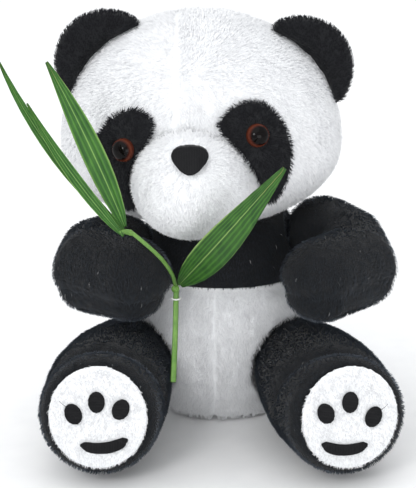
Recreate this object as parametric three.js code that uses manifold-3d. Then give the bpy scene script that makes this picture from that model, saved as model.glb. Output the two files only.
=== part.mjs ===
// A seated plush panda, 25 cm tall, that holds a sprig of artificial bamboo in its right paw.
// Millimetres, +Z up. The origin is the centre of the flat seat, and the panda faces -Y,
// so its own left side is +X. Every sewn skin is a shell, and its stuffing is a solid of its own.
import * as THREE from 'three';
import { mergeVertices } from 'three/addons/utils/BufferGeometryUtils.js';
import Module from 'manifold-3d';

const wasm = await Module();
wasm.setup();

// Clearances and cloth
const TOUCH = 0.3; // gap between pieces that rest on each other
const JOINT_GAP = 1.3; // free space around a limb or head that turns in its socket
const CLOTH = 2.2; // plush cloth with its pile pressed flat
const EAR_GAP = 1.8; // room for an ear root to fold

// Torso
const TORSO_WIDTH = 116;
const TORSO_DEPTH = 100;
const TORSO_HEIGHT = 119; // from the seat to the neck seam
const TORSO_BULGE_HEIGHT = 60; // height of the widest part of the belly
const SHOULDER_FULLNESS = 3; // 2 is an egg, and more is squarer shoulders
const TORSO_BOWL = 75; // from the widest part to where the underside would close
const DOME_ABOVE_NECK = 19; // how far the torso's dome would rise past the neck seam
const YOKE_BELOW_ARMS = 13.5; // seam between the white belly and the black chest
const BASE_PANEL_SIZE = [60, 50];
const BASE_PANEL_THICKNESS = 2;

// Head
const HEAD_WIDTH = 170;
const HEAD_DEPTH = 148;
const HEAD_DOME = 79; // from the middle of the head to its crown
const HEAD_JOWL = 51; // from the middle of the head to its underside
const HEAD_LEAN = -12; // the head leans towards the panda's right
const HEAD_SET_FORWARD = -12;
const NECK_OPENING = 22;

// Face, as offsets from the middle of the head
const MUZZLE_OFFSET = [-6, -66, -9];
const MUZZLE_SIZE = [70, 76, 66];
const NOSE_RISE = 20.3; // nose above the middle of the muzzle
const NOSE_WIDTH = 21;
const NOSE_HEIGHT = 14;
const NOSE_THICKNESS = 2.6;
const PATCH_THICKNESS = 3;
const EYE_DIAMETER = 13.5;
const EYE_DOME = 6.2;
const SHANK_DIAMETER = 4.4;
const SHANK_LENGTH = 17;
const WASHER_DIAMETER = 12;
const WASHER_THICKNESS = 1.5;
const EYE_LEFT = [30.5, 18.3];
const EYE_RIGHT = [-42, 9.5];
const PATCH_LEFT = [[10, 25], [20, 35], [33, 36], [44, 27], [51, 11], [50, -7], [42, -22], [37, -23],
  [32, -5], [22, 11]];
const PATCH_RIGHT = [[-27, 24], [-33, 31], [-42, 31], [-54, 22], [-60, 11], [-60, -7], [-54, -21], [-45, -30],
  [-38, -28], [-36, -13], [-40, -3], [-32, 13]];

// Ears
const EAR_HALF_WIDTH = 32;
const EAR_HEIGHT = 34.5;
const EAR_THICKNESS = 9;
const EAR_ROUNDING = 3;
const EAR_SET_FORWARD = 8; // in front of the middle of the head
const EAR_SEAT = 0.85; // how far out on the head the ear's chord lies, 1 being the outline
const EAR_LEFT_TILT = 51; // degrees from straight up
const EAR_RIGHT_TILT = 47;

// Legs
const LEG_DIAMETER = 74;
const FOOT_DIAMETER = 71;
const HIP_DIAMETER = 58;
const HIP_SPREAD = { left: 48, right: 58 };
const KNEE_SPREAD = { left: 58, right: 67 };
const HIP_BACK = -32;
const FOOT_SPREAD = 69;
const FOOT_REACH = 126; // how far forward the foot's rim is
const FOOT_ROUNDING = 9;
const FOOT_LIFT = 4; // the foot's middle above the leg's middle
const SOLE_SIZE = [57, 61];
const SOLE_RISE = 1.5;
const SOLE_THICKNESS = 2.4;
const TOE_SIZE = [9.6, 12.6];
const TOE_THICKNESS = 1.2;
const TOES = {
  left: [[-14.5, 5.6], [-0.5, 11], [13, 1.5]],
  right: [[-13.5, 4], [-0.5, 11], [13, 7]],
};
const HEEL_PAD_SIZE = [27, 6.4];
const HEEL_PAD_OFFSET = { left: [-4, -16.5], right: [4, -15.5] };
const HEEL_PAD_TILT = { left: -5, right: 8 }; // degrees
const HEEL_PAD_SAG = 3.2; // how far its ends curve up
const OUTER_TOE_LEAN = 25; // degrees, tops apart

// Arms
const SHOULDER_DIAMETER = 50;
const ARM_DIAMETER = 53;
const PAW_DIAMETER = 51;
const SHOULDER_SPREAD = 62;
const SHOULDER_BACK = -13;
const SHOULDER_RISE = { left: 9, right: -2 }; // above the arm's own middle height
const ELBOW = { left: [101, -50], right: [-99, -52] };
const PAW = { left: [58, -76], right: [-53, -74] };
const ARM_REST_GAP = 2; // between the arms and the thighs under them
const LIMB_OPENING = 9;

// Bamboo sprig
const STEM_DIAMETER = 3.2;
const TWIG_DIAMETER = 2.2;
const STEM_LEAN = 25;
const STEM_BELOW_TIE = 50;
const STEM_CLEARANCE = 4.2; // from the paw to the middle of the stem
const TIE_WIRE = 0.9;
const TIE_BELOW_TOP = 5;
const LEAF_THICKNESS = 0.9;
const LEAF_FOLD = 0.18;
const LEAF_FACE_CLEARANCE = 27; // in front of the muzzle
const LEAF_WIDTHS = { leaf_broad: 19, leaf_tall: 13, leaf_outer: 6.5, leaf_inner: 6.5 };

// Tail and label
const TAIL_SIZE = [26, 20, 24];
const TAIL_HEIGHT = 30;
const LABEL_SIZE = [16, 22, 0.6];
const LABEL_OFFSET = 22;

// Places that follow from the sizes above
const legHeight = LEG_DIAMETER / 2;
const armHeight = LEG_DIAMETER + ARM_REST_GAP + ARM_DIAMETER / 2 + 1;
const neckHeight = TORSO_HEIGHT;
const yokeHeight = armHeight - YOKE_BELOW_ARMS;
const torsoDome = neckHeight + DOME_ABOVE_NECK - TORSO_BULGE_HEIGHT;
const headCentre = new THREE.Vector3(HEAD_LEAN, HEAD_SET_FORWARD, neckHeight + HEAD_JOWL + JOINT_GAP * 2);
const muzzleCentre = headCentre.clone().add(new THREE.Vector3(...MUZZLE_OFFSET));
const muzzleFront = muzzleCentre.y - MUZZLE_SIZE[1] / 2;
const UP = new THREE.Vector3(0, 0, 1);

const looks = {
  whitePlush: { color: 0xf0f1f3, roughness: 0.95, metalness: 0 },
  blackPlush: { color: 0x1b1d20, roughness: 0.92, metalness: 0 },
  stuffing: { color: 0xfafafa, roughness: 1, metalness: 0 },
  eye: { color: 0x3a1a10, roughness: 0.08, metalness: 0 },
  washer: { color: 0xe8e8e4, roughness: 0.5, metalness: 0 },
  embroidery: { color: 0x141416, roughness: 0.7, metalness: 0 },
  stem: { color: 0x6f9a3c, roughness: 0.5, metalness: 0 },
  leaf: { color: 0x4f8a32, roughness: 0.55, metalness: 0 },
  thread: { color: 0xf4f4f0, roughness: 0.8, metalness: 0 },
  label: { color: 0xfbfbf8, roughness: 0.6, metalness: 0 },
};

const panda = new THREE.Group();

function add(name, solid, look) {
  const geometry = solid.isBufferGeometry ? solid : toGeometry(solid);
  const mesh = new THREE.Mesh(geometry, new THREE.MeshStandardMaterial(looks[look]));
  mesh.name = name;
  panda.add(mesh);
}

function toSolid(geometry) {
  const bare = geometry.clone();
  bare.deleteAttribute('normal');
  bare.deleteAttribute('uv');
  const merged = mergeVertices(bare, 1e-4);
  return new wasm.Manifold(new wasm.Mesh({
    numProp: 3,
    vertProperties: new Float32Array(merged.attributes.position.array),
    triVerts: new Uint32Array(merged.index.array),
  }));
}

function toGeometry(solid) {
  const mesh = solid.getMesh();
  const geometry = new THREE.BufferGeometry();
  geometry.setAttribute('position', new THREE.BufferAttribute(mesh.vertProperties, 3));
  geometry.setIndex(new THREE.BufferAttribute(mesh.triVerts, 1));
  return geometry;
}

function movePoints(geometry, move) {
  const position = geometry.attributes.position;
  const point = new THREE.Vector3();
  for (let i = 0; i < position.count; i += 1) {
    move(point.fromBufferAttribute(position, i));
    position.setXYZ(i, point.x, point.y, point.z);
  }
  return geometry;
}

function slab(low, high) {
  const size = new THREE.Vector3().subVectors(high, low);
  const middle = new THREE.Vector3().addVectors(low, high).multiplyScalar(0.5);
  return toSolid(new THREE.BoxGeometry(size.x, size.y, size.z).translate(middle.x, middle.y, middle.z));
}

function ellipticDisc(width, depth, low, high, around) {
  const disc = new THREE.CylinderGeometry(1, 1, high - low, around);
  disc.rotateX(Math.PI / 2).scale(width / 2, depth / 2, 1).translate(0, 0, (low + high) / 2);
  return toSolid(disc);
}

// An egg with its own upper and lower half heights, made from a ball
function egg(centre, halfWidth, halfDepth, above, below, around, rows) {
  const ball = new THREE.SphereGeometry(1, around, rows).rotateX(Math.PI / 2);
  movePoints(ball, (p) => p.set(
    centre.x + p.x * halfWidth,
    centre.y + p.y * halfDepth,
    centre.z + p.z * (p.z > 0 ? above : below),
  ));
  return toSolid(ball);
}

function headForm(grow, around = 30, rows = 18) {
  const [halfWidth, halfDepth] = [HEAD_WIDTH / 2 + grow, HEAD_DEPTH / 2 + grow];
  return egg(headCentre, halfWidth, halfDepth, HEAD_DOME + grow, HEAD_JOWL + grow, around, rows);
}

function muzzleForm(grow, around = 22, rows = 14) {
  const [halfWidth, halfDepth, halfHeight] = MUZZLE_SIZE.map((size) => size / 2 + grow);
  return egg(muzzleCentre, halfWidth, halfDepth, halfHeight, halfHeight, around, rows);
}

// A limb's outline: a ball at its pivot, a fuller middle, and a rounded or flat far end
function limbOutline(limb, grow, rows) {
  const pivot = limb.pivotDiameter / 2 + grow;
  const middle = limb.middleDiameter / 2 + grow;
  const end = limb.endDiameter / 2 + grow;
  const corner = limb.endRounding + grow;
  const outline = [];
  for (let i = 0; i <= rows; i += 1) {
    const angle = -Math.PI / 2 + (Math.PI / 2) * (i / rows);
    outline.push(new THREE.Vector2(pivot * Math.cos(angle), pivot * Math.sin(angle)));
  }
  outline.push(new THREE.Vector2((pivot + middle * 2) / 3, limb.length * 0.28));
  outline.push(new THREE.Vector2(middle, limb.length * 0.6));
  for (let i = 0; i <= rows; i += 1) {
    const angle = (Math.PI / 2) * (i / rows);
    const radius = end - corner + corner * Math.cos(angle);
    outline.push(new THREE.Vector2(radius, limb.length + corner * Math.sin(angle)));
  }
  if (corner < end) {
    outline.push(new THREE.Vector2(0, limb.length + corner));
  }
  outline[0].x = 0;
  outline[outline.length - 1].x = 0;
  return outline;
}

function frameAlong(limb, distance) {
  const share = THREE.MathUtils.clamp(distance / limb.length, 0, 1);
  const along = limb.path.getTangentAt(share);
  const side = new THREE.Vector3().crossVectors(UP, along).normalize();
  const over = new THREE.Vector3().crossVectors(along, side);
  const place = limb.path.getPointAt(share).addScaledVector(along, distance - share * limb.length);
  return { along, side, over, place };
}

function limbForm(limb, grow, around = 20, rows = 5) {
  const straight = new THREE.LatheGeometry(limbOutline(limb, grow, rows), around);
  return toSolid(movePoints(straight, (p) => {
    const frame = frameAlong(limb, p.y);
    const [across, up] = [p.x, -p.z];
    p.copy(frame.place).addScaledVector(frame.side, across).addScaledVector(frame.over, up);
  }));
}

function makeLimb(points, diameters, endRounding) {
  const path = new THREE.QuadraticBezierCurve3(...points);
  const [pivotDiameter, middleDiameter, endDiameter] = diameters;
  return { path, length: path.getLength(), pivotDiameter, middleDiameter, endDiameter, endRounding };
}

// Rods point from a place along a direction
function rod(place, direction, from, to, radius, around = 16) {
  const bar = new THREE.CylinderGeometry(radius, radius, to - from, around).translate(0, (from + to) / 2, 0);
  return toSolid(aim(bar, place, direction));
}

function aim(geometry, place, direction) {
  const turn = new THREE.Quaternion().setFromUnitVectors(new THREE.Vector3(0, 1, 0), direction);
  return geometry.applyQuaternion(turn).translate(place.x, place.y, place.z);
}

function openTowardsTorso(skin, limb) {
  const pivot = limb.path.getPoint(0);
  const inward = new THREE.Vector3(-pivot.x, 0, 0).normalize();
  return skin.subtract(rod(pivot, inward, 0, limb.pivotDiameter, LIMB_OPENING));
}

function addLimb(part, side, limb, cutters) {
  let outer = limbForm(limb, 0);
  cutters.forEach((cutter) => { outer = outer.subtract(cutter(0)); });
  let hollow = limbForm(limb, -CLOTH, 12, 3);
  cutters.forEach((cutter) => { hollow = hollow.subtract(cutter(CLOTH)); });
  let filling = limbForm(limb, -CLOTH - TOUCH * 2, 12, 3);
  cutters.forEach((cutter) => { filling = filling.subtract(cutter(CLOTH + TOUCH * 2)); });
  add(`${part}_skin_${side}`, openTowardsTorso(outer.subtract(hollow), limb), 'blackPlush');
  add(`${part}_stuffing_${side}`, filling, 'stuffing');
}

// A flat outline in the front view, swept through the face from front to back
function faceOutline(shape, centre) {
  const sweep = new THREE.ExtrudeGeometry(shape, { depth: HEAD_DEPTH, bevelEnabled: false, curveSegments: 8 });
  return toSolid(sweep.rotateX(Math.PI / 2).translate(centre.x, centre.y, centre.z));
}

function closedSpline(points, samples) {
  const corners = points.map(([x, z]) => new THREE.Vector3(x, z, 0));
  const curve = new THREE.CatmullRomCurve3(corners, true, 'centripetal');
  return new THREE.Shape(curve.getPoints(samples).slice(0, samples).map((p) => new THREE.Vector2(p.x, p.y)));
}

// Limbs
const legs = {};
const arms = {};
for (const [side, sign] of [['left', 1], ['right', -1]]) {
  const hip = new THREE.Vector3(sign * HIP_SPREAD[side], HIP_BACK, legHeight);
  const knee = new THREE.Vector3(sign * KNEE_SPREAD[side], -FOOT_REACH * 0.6, legHeight);
  const ankle = new THREE.Vector3(sign * FOOT_SPREAD, -FOOT_REACH, legHeight + FOOT_LIFT);
  legs[side] = makeLimb([hip, knee, ankle], [HIP_DIAMETER, LEG_DIAMETER, FOOT_DIAMETER], FOOT_ROUNDING);
  const shoulderHeight = armHeight + SHOULDER_RISE[side];
  const shoulder = new THREE.Vector3(sign * SHOULDER_SPREAD, SHOULDER_BACK, shoulderHeight);
  const elbow = new THREE.Vector3(...ELBOW[side], armHeight);
  const paw = new THREE.Vector3(...PAW[side], armHeight + 1);
  const diameters = [SHOULDER_DIAMETER, ARM_DIAMETER, PAW_DIAMETER];
  arms[side] = makeLimb([shoulder, elbow, paw], diameters, PAW_DIAMETER / 2);
}

const limbs = [...Object.values(legs), ...Object.values(arms)];
for (const side of ['left', 'right']) {
  addLimb('leg', side, legs[side], []);
  addLimb('arm', side, arms[side], [
    (grow) => headForm(ARM_REST_GAP + grow, 16, 10),
    (grow) => limbForm(legs[side], ARM_REST_GAP / 2 + grow, 16, 4),
  ]);
}

// Torso: white belly, black chest, flat base, stuffing
const reach = TORSO_WIDTH;
const aboveTorso = neckHeight + torsoDome;

function torsoForm(grow, around, rows) {
  const centre = new THREE.Vector3(0, -5, TORSO_BULGE_HEIGHT);
  const [halfWidth, halfDepth] = [TORSO_WIDTH / 2 + grow, TORSO_DEPTH / 2 + grow];
  const ball = new THREE.SphereGeometry(1, around, rows).rotateX(Math.PI / 2);
  movePoints(ball, (p) => {
    const round = Math.sqrt(Math.max(1 - p.z ** 2, 1e-9));
    const full = Math.max(1 - Math.abs(p.z) ** SHOULDER_FULLNESS, 0) ** (1 / SHOULDER_FULLNESS);
    const aboveYoke = centre.z + p.z * torsoDome - yokeHeight;
    const share = THREE.MathUtils.smoothstep(aboveYoke, -1, armHeight - yokeHeight);
    const fill = p.z > 0 ? 1 + (full / round - 1) * share : 1;
    p.set(
      centre.x + p.x * fill * halfWidth,
      centre.y + p.y * fill * halfDepth,
      centre.z + p.z * (p.z > 0 ? torsoDome + grow : TORSO_BOWL + grow),
    );
  });
  let form = toSolid(ball);
  const aboveFloor = slab(
    new THREE.Vector3(-reach, -reach, -grow),
    new THREE.Vector3(reach, reach, aboveTorso),
  );
  form = form.intersect(aboveFloor);
  const clear = JOINT_GAP - grow;
  form = form.subtract(headForm(clear, 20, 12));
  limbs.forEach((limb) => { form = form.subtract(limbForm(limb, clear, 14, 4)); });
  return form;
}

const torsoShell = torsoForm(0, 26, 16).subtract(torsoForm(-CLOTH, 18, 10));
const belowSeam = slab(
  new THREE.Vector3(-reach, -reach, -CLOTH),
  new THREE.Vector3(reach, reach, yokeHeight - TOUCH / 2),
);
const aboveSeam = slab(
  new THREE.Vector3(-reach, -reach, yokeHeight + TOUCH / 2),
  new THREE.Vector3(reach, reach, aboveTorso),
);
const [panelWidth, panelDepth] = BASE_PANEL_SIZE;
const panelHole = ellipticDisc(panelWidth + TOUCH * 2, panelDepth + TOUCH * 2, -1, CLOTH + 1, 28);
add('belly_skin', torsoShell.intersect(belowSeam).subtract(panelHole), 'whitePlush');
add('chest_skin', torsoShell.intersect(aboveSeam), 'blackPlush');
add('base_panel', ellipticDisc(panelWidth, panelDepth, 0, BASE_PANEL_THICKNESS, 28), 'whitePlush');
add('body_stuffing', torsoForm(-CLOTH - TOUCH * 2, 18, 10), 'stuffing');

// Head: skin with the neck opening, stuffing, muzzle
function eyeSeat([across, rise]) {
  const below = rise < 0 ? HEAD_JOWL : HEAD_DOME;
  const [a, b] = [across / (HEAD_WIDTH / 2), rise / below];
  const forward = -(HEAD_DEPTH / 2) * Math.sqrt(1 - a * a - b * b);
  const seat = new THREE.Vector3(across, forward, rise);
  const slopeForward = forward / (HEAD_DEPTH / 2) ** 2;
  const outward = new THREE.Vector3(a / (HEAD_WIDTH / 2), slopeForward, b / below).normalize();
  return { place: seat.add(headCentre), outward };
}

const eyes = { left: eyeSeat(EYE_LEFT), right: eyeSeat(EYE_RIGHT) };
let headSkin = headForm(0).subtract(headForm(-CLOTH, 20, 12));
let headFilling = headForm(-CLOTH - TOUCH * 2, 20, 12);
const down = new THREE.Vector3(0, 0, -1);
const neckHole = rod(headCentre, down, HEAD_JOWL / 2, HEAD_JOWL + CLOTH, NECK_OPENING, 24);
headSkin = headSkin.subtract(neckHole);
const shankDepth = SHANK_LENGTH - PATCH_THICKNESS;
for (const { place, outward } of Object.values(eyes)) {
  const shankRoom = rod(place, outward, -shankDepth, PATCH_THICKNESS * 2, SHANK_DIAMETER / 2 + TOUCH);
  headSkin = headSkin.subtract(shankRoom);
  headSkin = headSkin.subtract(rod(place, outward, -shankDepth, -CLOTH, WASHER_DIAMETER / 2 + TOUCH));
  const washerRadius = WASHER_DIAMETER / 2 + TOUCH * 2;
  headFilling = headFilling.subtract(rod(place, outward, -shankDepth - 1, CLOTH, washerRadius));
}
add('head_skin', headSkin, 'whitePlush');
add('head_stuffing', headFilling, 'stuffing');

const muzzleRoom = headForm(TOUCH);
add('muzzle_skin', muzzleForm(0).subtract(muzzleForm(-CLOTH, 14, 8)).subtract(muzzleRoom), 'whitePlush');
add('muzzle_stuffing', muzzleForm(-CLOTH - TOUCH * 2, 14, 8).subtract(headForm(TOUCH * 2)), 'stuffing');

// Nose: a rounded triangle, wide above, laid on the muzzle
const noseCentre = muzzleCentre.clone().add(new THREE.Vector3(0, 0, NOSE_RISE));
const noseOutline = closedSpline([
  [-0.5, 0.14], [-0.43, 0.34], [-0.27, 0.46], [0, 0.5], [0.27, 0.46], [0.43, 0.34], [0.5, 0.14],
  [0.42, -0.08], [0.3, -0.26], [0.15, -0.42], [0, -0.5], [-0.15, -0.42], [-0.3, -0.26], [-0.42, -0.08],
].map(([across, up]) => [across * NOSE_WIDTH, up * NOSE_HEIGHT]), 28);
const noseSweep = faceOutline(noseOutline, noseCentre);
add('nose', muzzleForm(NOSE_THICKNESS + TOUCH).subtract(muzzleForm(TOUCH)).intersect(noseSweep), 'embroidery');

// Eyes: patch, domed eye with a shank through the skin, washer inside
const eyeOutline = [new THREE.Vector2(0, -SHANK_LENGTH), new THREE.Vector2(SHANK_DIAMETER / 2, -SHANK_LENGTH),
  new THREE.Vector2(SHANK_DIAMETER / 2, 0), new THREE.Vector2(EYE_DIAMETER / 2, 0)];
const DOME_ROWS = 5;
for (let i = 0; i <= DOME_ROWS; i += 1) {
  const angle = (Math.PI / 2) * (i / DOME_ROWS);
  const radius = i === DOME_ROWS ? 0 : (EYE_DIAMETER / 2) * Math.cos(angle);
  eyeOutline.push(new THREE.Vector2(radius, 0.8 + (EYE_DOME - 0.8) * Math.sin(angle)));
}
const washerInner = SHANK_DIAMETER / 2 + TOUCH;
const washerBack = -CLOTH - TOUCH * 3 - WASHER_THICKNESS;
const washerOutline = [[washerInner, 0], [WASHER_DIAMETER / 2, 0], [WASHER_DIAMETER / 2, WASHER_THICKNESS],
  [washerInner, WASHER_THICKNESS], [washerInner, 0]].map(([r, h]) => new THREE.Vector2(r, h));
const patchOutlines = { left: PATCH_LEFT, right: PATCH_RIGHT };
for (const [side, { place, outward }] of Object.entries(eyes)) {
  const sweep = faceOutline(closedSpline(patchOutlines[side], 26), headCentre);
  const sheet = headForm(PATCH_THICKNESS + TOUCH).subtract(muzzleRoom).intersect(sweep);
  const shankHole = rod(place, outward, -CLOTH, PATCH_THICKNESS * 2, SHANK_DIAMETER / 2 + TOUCH);
  add(`eye_patch_${side}`, sheet.subtract(muzzleForm(TOUCH)).subtract(shankHole), 'blackPlush');
  const front = place.clone().addScaledVector(outward, PATCH_THICKNESS + TOUCH * 2);
  add(`eye_${side}`, aim(new THREE.LatheGeometry(eyeOutline, 16), front, outward), 'eye');
  const back = place.clone().addScaledVector(outward, washerBack);
  add(`eye_washer_${side}`, aim(new THREE.LatheGeometry(washerOutline, 12), back, outward), 'washer');
}

// Ears: padded half discs whose roots follow the head
const earSide = EAR_HALF_WIDTH - EAR_ROUNDING;
const earTop = EAR_HEIGHT - EAR_ROUNDING;
const earShape = new THREE.Shape();
earShape.moveTo(-earSide, -EAR_HEIGHT / 2);
earShape.lineTo(earSide, -EAR_HEIGHT / 2);
earShape.lineTo(earSide, 0);
earShape.absellipse(0, 0, earSide, earTop, 0, Math.PI, false, 0);
const earBlank = new THREE.ExtrudeGeometry(earShape, {
  depth: EAR_THICKNESS - EAR_ROUNDING * 2,
  bevelThickness: EAR_ROUNDING,
  bevelSize: EAR_ROUNDING,
  bevelSegments: 2,
  curveSegments: 16,
}).translate(0, 0, EAR_ROUNDING - EAR_THICKNESS / 2).rotateX(Math.PI / 2);
const earRoom = headForm(EAR_GAP);
for (const [side, sign, tilt] of [['left', 1, EAR_LEFT_TILT], ['right', -1, EAR_RIGHT_TILT]]) {
  const angle = THREE.MathUtils.degToRad(tilt) * sign;
  const ear = earBlank.clone().rotateY(angle);
  ear.translate(
    headCentre.x + Math.sin(angle) * (HEAD_WIDTH / 2) * EAR_SEAT,
    headCentre.y - EAR_SET_FORWARD,
    headCentre.z + Math.cos(angle) * HEAD_DOME * EAR_SEAT,
  );
  add(`ear_${side}`, toSolid(ear).subtract(earRoom), 'blackPlush');
}

// Feet: white sole, three toe pads and a smiling heel pad, set on the flat end of each leg
function placeOnFoot(geometry, limb, height) {
  const frame = frameAlong(limb, limb.length);
  const place = frame.place.clone().addScaledVector(frame.along, limb.endRounding + height);
  const basis = new THREE.Matrix4().makeBasis(frame.side, frame.over, frame.along).setPosition(place);
  return geometry.applyMatrix4(basis);
}

function heelPadShape() {
  const [width, height] = HEEL_PAD_SIZE;
  const points = [];
  const STEPS = 10;
  for (let i = 0; i <= STEPS; i += 1) {
    const share = (i / STEPS) * 2 - 1;
    const halfHeight = (height / 2) * Math.sqrt(1.04 - share ** 6);
    points.push([share * width / 2, HEEL_PAD_SAG * share * share + halfHeight]);
  }
  for (let i = STEPS; i >= 0; i -= 1) {
    const share = (i / STEPS) * 2 - 1;
    const halfHeight = (height / 2) * Math.sqrt(1.04 - share ** 6);
    points.push([share * width / 2, HEEL_PAD_SAG * share * share - halfHeight]);
  }
  return new THREE.Shape(points.map(([x, y]) => new THREE.Vector2(x, y)));
}

for (const [side, limb] of Object.entries(legs)) {
  const sole = new THREE.CylinderGeometry(0.48, 0.5, SOLE_THICKNESS, 28).rotateX(Math.PI / 2);
  sole.scale(...SOLE_SIZE, 1).translate(0, SOLE_RISE, SOLE_THICKNESS / 2);
  add(`sole_${side}`, placeOnFoot(sole, limb, TOUCH), 'whitePlush');
  const padHeight = SOLE_THICKNESS + TOUCH * 2;
  TOES[side].forEach(([across, rise], index) => {
    const toe = new THREE.CylinderGeometry(0.5, 0.5, TOE_THICKNESS, 14).rotateX(Math.PI / 2);
    const lean = THREE.MathUtils.degToRad(OUTER_TOE_LEAN) * (1 - index);
    toe.scale(TOE_SIZE[0], TOE_SIZE[1], 1).rotateZ(lean).translate(across, rise, TOE_THICKNESS / 2);
    add(`toe_pad_${side}_${index + 1}`, placeOnFoot(toe, limb, padHeight), 'embroidery');
  });
  const heel = new THREE.ExtrudeGeometry(heelPadShape(), { depth: TOE_THICKNESS, bevelEnabled: false });
  heel.rotateZ(THREE.MathUtils.degToRad(HEEL_PAD_TILT[side])).translate(...HEEL_PAD_OFFSET[side], 0);
  add(`heel_pad_${side}`, placeOnFoot(heel, limb, padHeight), 'embroidery');
}

// Tail and care label on the back
const backWall = -5 + TORSO_DEPTH / 2;
const [tailWidth, tailDepth, tailHeight] = TAIL_SIZE;
const tailCentre = new THREE.Vector3(0, backWall - 1, TAIL_HEIGHT);
const tailForm = egg(tailCentre, tailWidth / 2, tailDepth / 2, tailHeight / 2, tailHeight / 2, 16, 10);
add('tail', tailForm.subtract(torsoForm(TOUCH, 26, 16)), 'whitePlush');
const [labelWidth, labelLength, labelThickness] = LABEL_SIZE;
const label = new THREE.BoxGeometry(labelThickness, labelLength, labelWidth);
label.translate(LABEL_OFFSET, backWall + labelLength / 2 - 9, TAIL_HEIGHT);
add('care_label', toSolid(label).subtract(torsoForm(TOUCH, 26, 16)), 'label');

// Sprig: stem and twig tied to the tip of the right paw, with one broad and three narrow leaves
const pawCentre = arms.right.path.getPoint(1);
const pawAhead = arms.right.path.getTangent(1);
const tie = pawCentre.clone().addScaledVector(pawAhead, PAW_DIAMETER / 2 + STEM_CLEARANCE);

function sprigPoint(across, forward, rise) {
  return new THREE.Vector3(tie.x + across, tie.y + forward, tie.z + rise);
}

function tube(extrudePath, radius, steps) {
  const section = new THREE.Shape();
  section.absarc(0, 0, radius, 0, Math.PI * 2, false);
  return new THREE.ExtrudeGeometry(section, { steps, extrudePath, bevelEnabled: false, curveSegments: 4 });
}

const leafLine = muzzleFront - LEAF_FACE_CLEARANCE - tie.y; // how far forward the broad leaf passes
const stemPath = new THREE.CatmullRomCurve3([
  sprigPoint(-1.5, -STEM_LEAN, -STEM_BELOW_TIE),
  sprigPoint(-0.5, -STEM_LEAN * 0.36, -STEM_BELOW_TIE / 2),
  sprigPoint(0, 0, -3),
]);
add('sprig_stem', tube(stemPath, STEM_DIAMETER / 2, 8), 'stem');
const twigEnd = sprigPoint(-25, -33, 42);
const twigPath = new THREE.CatmullRomCurve3([
  sprigPoint(-0.5, 0.5, -0.8),
  sprigPoint(-2, -15, 11),
  sprigPoint(-8, -29, 25),
  sprigPoint(-16.5, -34, 35),
  twigEnd,
]);
add('sprig_twig', tube(twigPath, TWIG_DIAMETER / 2, 10), 'stem');

function offTwig(across, forward, rise) {
  return new THREE.Vector3(twigEnd.x + across, twigEnd.y + forward, twigEnd.z + rise);
}

// A leaf is a thin blade along a curve, folded a little along its midrib
function leafBlade(base, middle, tip, width, facing) {
  const path = new THREE.QuadraticBezierCurve3(base, middle, tip);
  const blade = new THREE.BoxGeometry(1, 1, 1, 11, 2, 1);
  return movePoints(blade, (p) => {
    const share = p.x + 0.5;
    const along = path.getTangent(share);
    const across = new THREE.Vector3().crossVectors(facing, along).normalize();
    const normal = new THREE.Vector3().crossVectors(along, across);
    const taper = Math.sin(Math.PI * (0.06 + 0.9 * share ** 0.8));
    const half = (width / 2) * taper;
    const offset = p.y * 2 * half;
    const lift = p.z * LEAF_THICKNESS + (Math.abs(offset) - half) * LEAF_FOLD;
    p.copy(path.getPoint(share)).addScaledVector(across, offset).addScaledVector(normal, lift);
  });
}

const front = new THREE.Vector3(0, -1, 0.1).normalize();
const leafRuns = {
  leaf_broad: [sprigPoint(2.4, -2.5, 0.5), sprigPoint(22, leafLine - 4, 37), sprigPoint(59, leafLine + 2, 83)],
  leaf_tall: [offTwig(-2.5, -1, 2.5), sprigPoint(-46, -26, 91), sprigPoint(-70, -12, 132)],
  leaf_outer: [offTwig(-2.5, -3.5, 1), sprigPoint(-72, -30, 83), sprigPoint(-97, -14, 135)],
  leaf_inner: [offTwig(-3, -7, -1), sprigPoint(-57, -39, 73), sprigPoint(-80, -26, 112)],
};
for (const [name, [base, middle, tip]] of Object.entries(leafRuns)) {
  add(name, leafBlade(base, middle, tip, LEAF_WIDTHS[name], front), 'leaf');
}

const tiePlace = stemPath.getPointAt(1 - TIE_BELOW_TOP / stemPath.getLength());
const tieRadius = STEM_DIAMETER / 2 + TOUCH * 2 + TIE_WIRE / 2;
const tieLoop = new THREE.TorusGeometry(tieRadius, TIE_WIRE / 2, 6, 14);
add('tie_thread', tieLoop.translate(tiePlace.x, tiePlace.y, tiePlace.z), 'thread');

export default panda;
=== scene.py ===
import math

import bmesh
import bpy
import numpy as np
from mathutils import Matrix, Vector
from mathutils.bvhtree import BVHTree


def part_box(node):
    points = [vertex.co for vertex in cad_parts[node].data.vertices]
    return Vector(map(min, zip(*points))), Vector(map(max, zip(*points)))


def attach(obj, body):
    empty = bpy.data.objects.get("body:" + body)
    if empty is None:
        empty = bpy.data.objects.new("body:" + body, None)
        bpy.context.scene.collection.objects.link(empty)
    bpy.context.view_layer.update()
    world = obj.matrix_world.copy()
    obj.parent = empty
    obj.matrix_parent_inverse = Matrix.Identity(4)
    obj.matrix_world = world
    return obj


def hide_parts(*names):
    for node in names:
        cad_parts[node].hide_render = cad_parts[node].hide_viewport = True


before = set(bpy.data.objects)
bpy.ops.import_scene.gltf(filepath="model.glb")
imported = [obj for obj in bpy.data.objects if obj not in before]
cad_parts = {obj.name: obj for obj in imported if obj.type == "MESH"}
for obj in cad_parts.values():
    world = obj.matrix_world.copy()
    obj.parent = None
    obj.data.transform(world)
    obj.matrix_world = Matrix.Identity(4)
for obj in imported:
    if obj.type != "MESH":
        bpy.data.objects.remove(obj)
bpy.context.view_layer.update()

scene = bpy.context.scene
MM = 0.001

# ---------------------------------------------------------------- camera, light and floor
AIM = Vector((-8, -30, 112)) * MM
VIEW_DISTANCE = 1.15
VIEW_ELEVATION = math.radians(17)
LENS = 165.9


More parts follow.
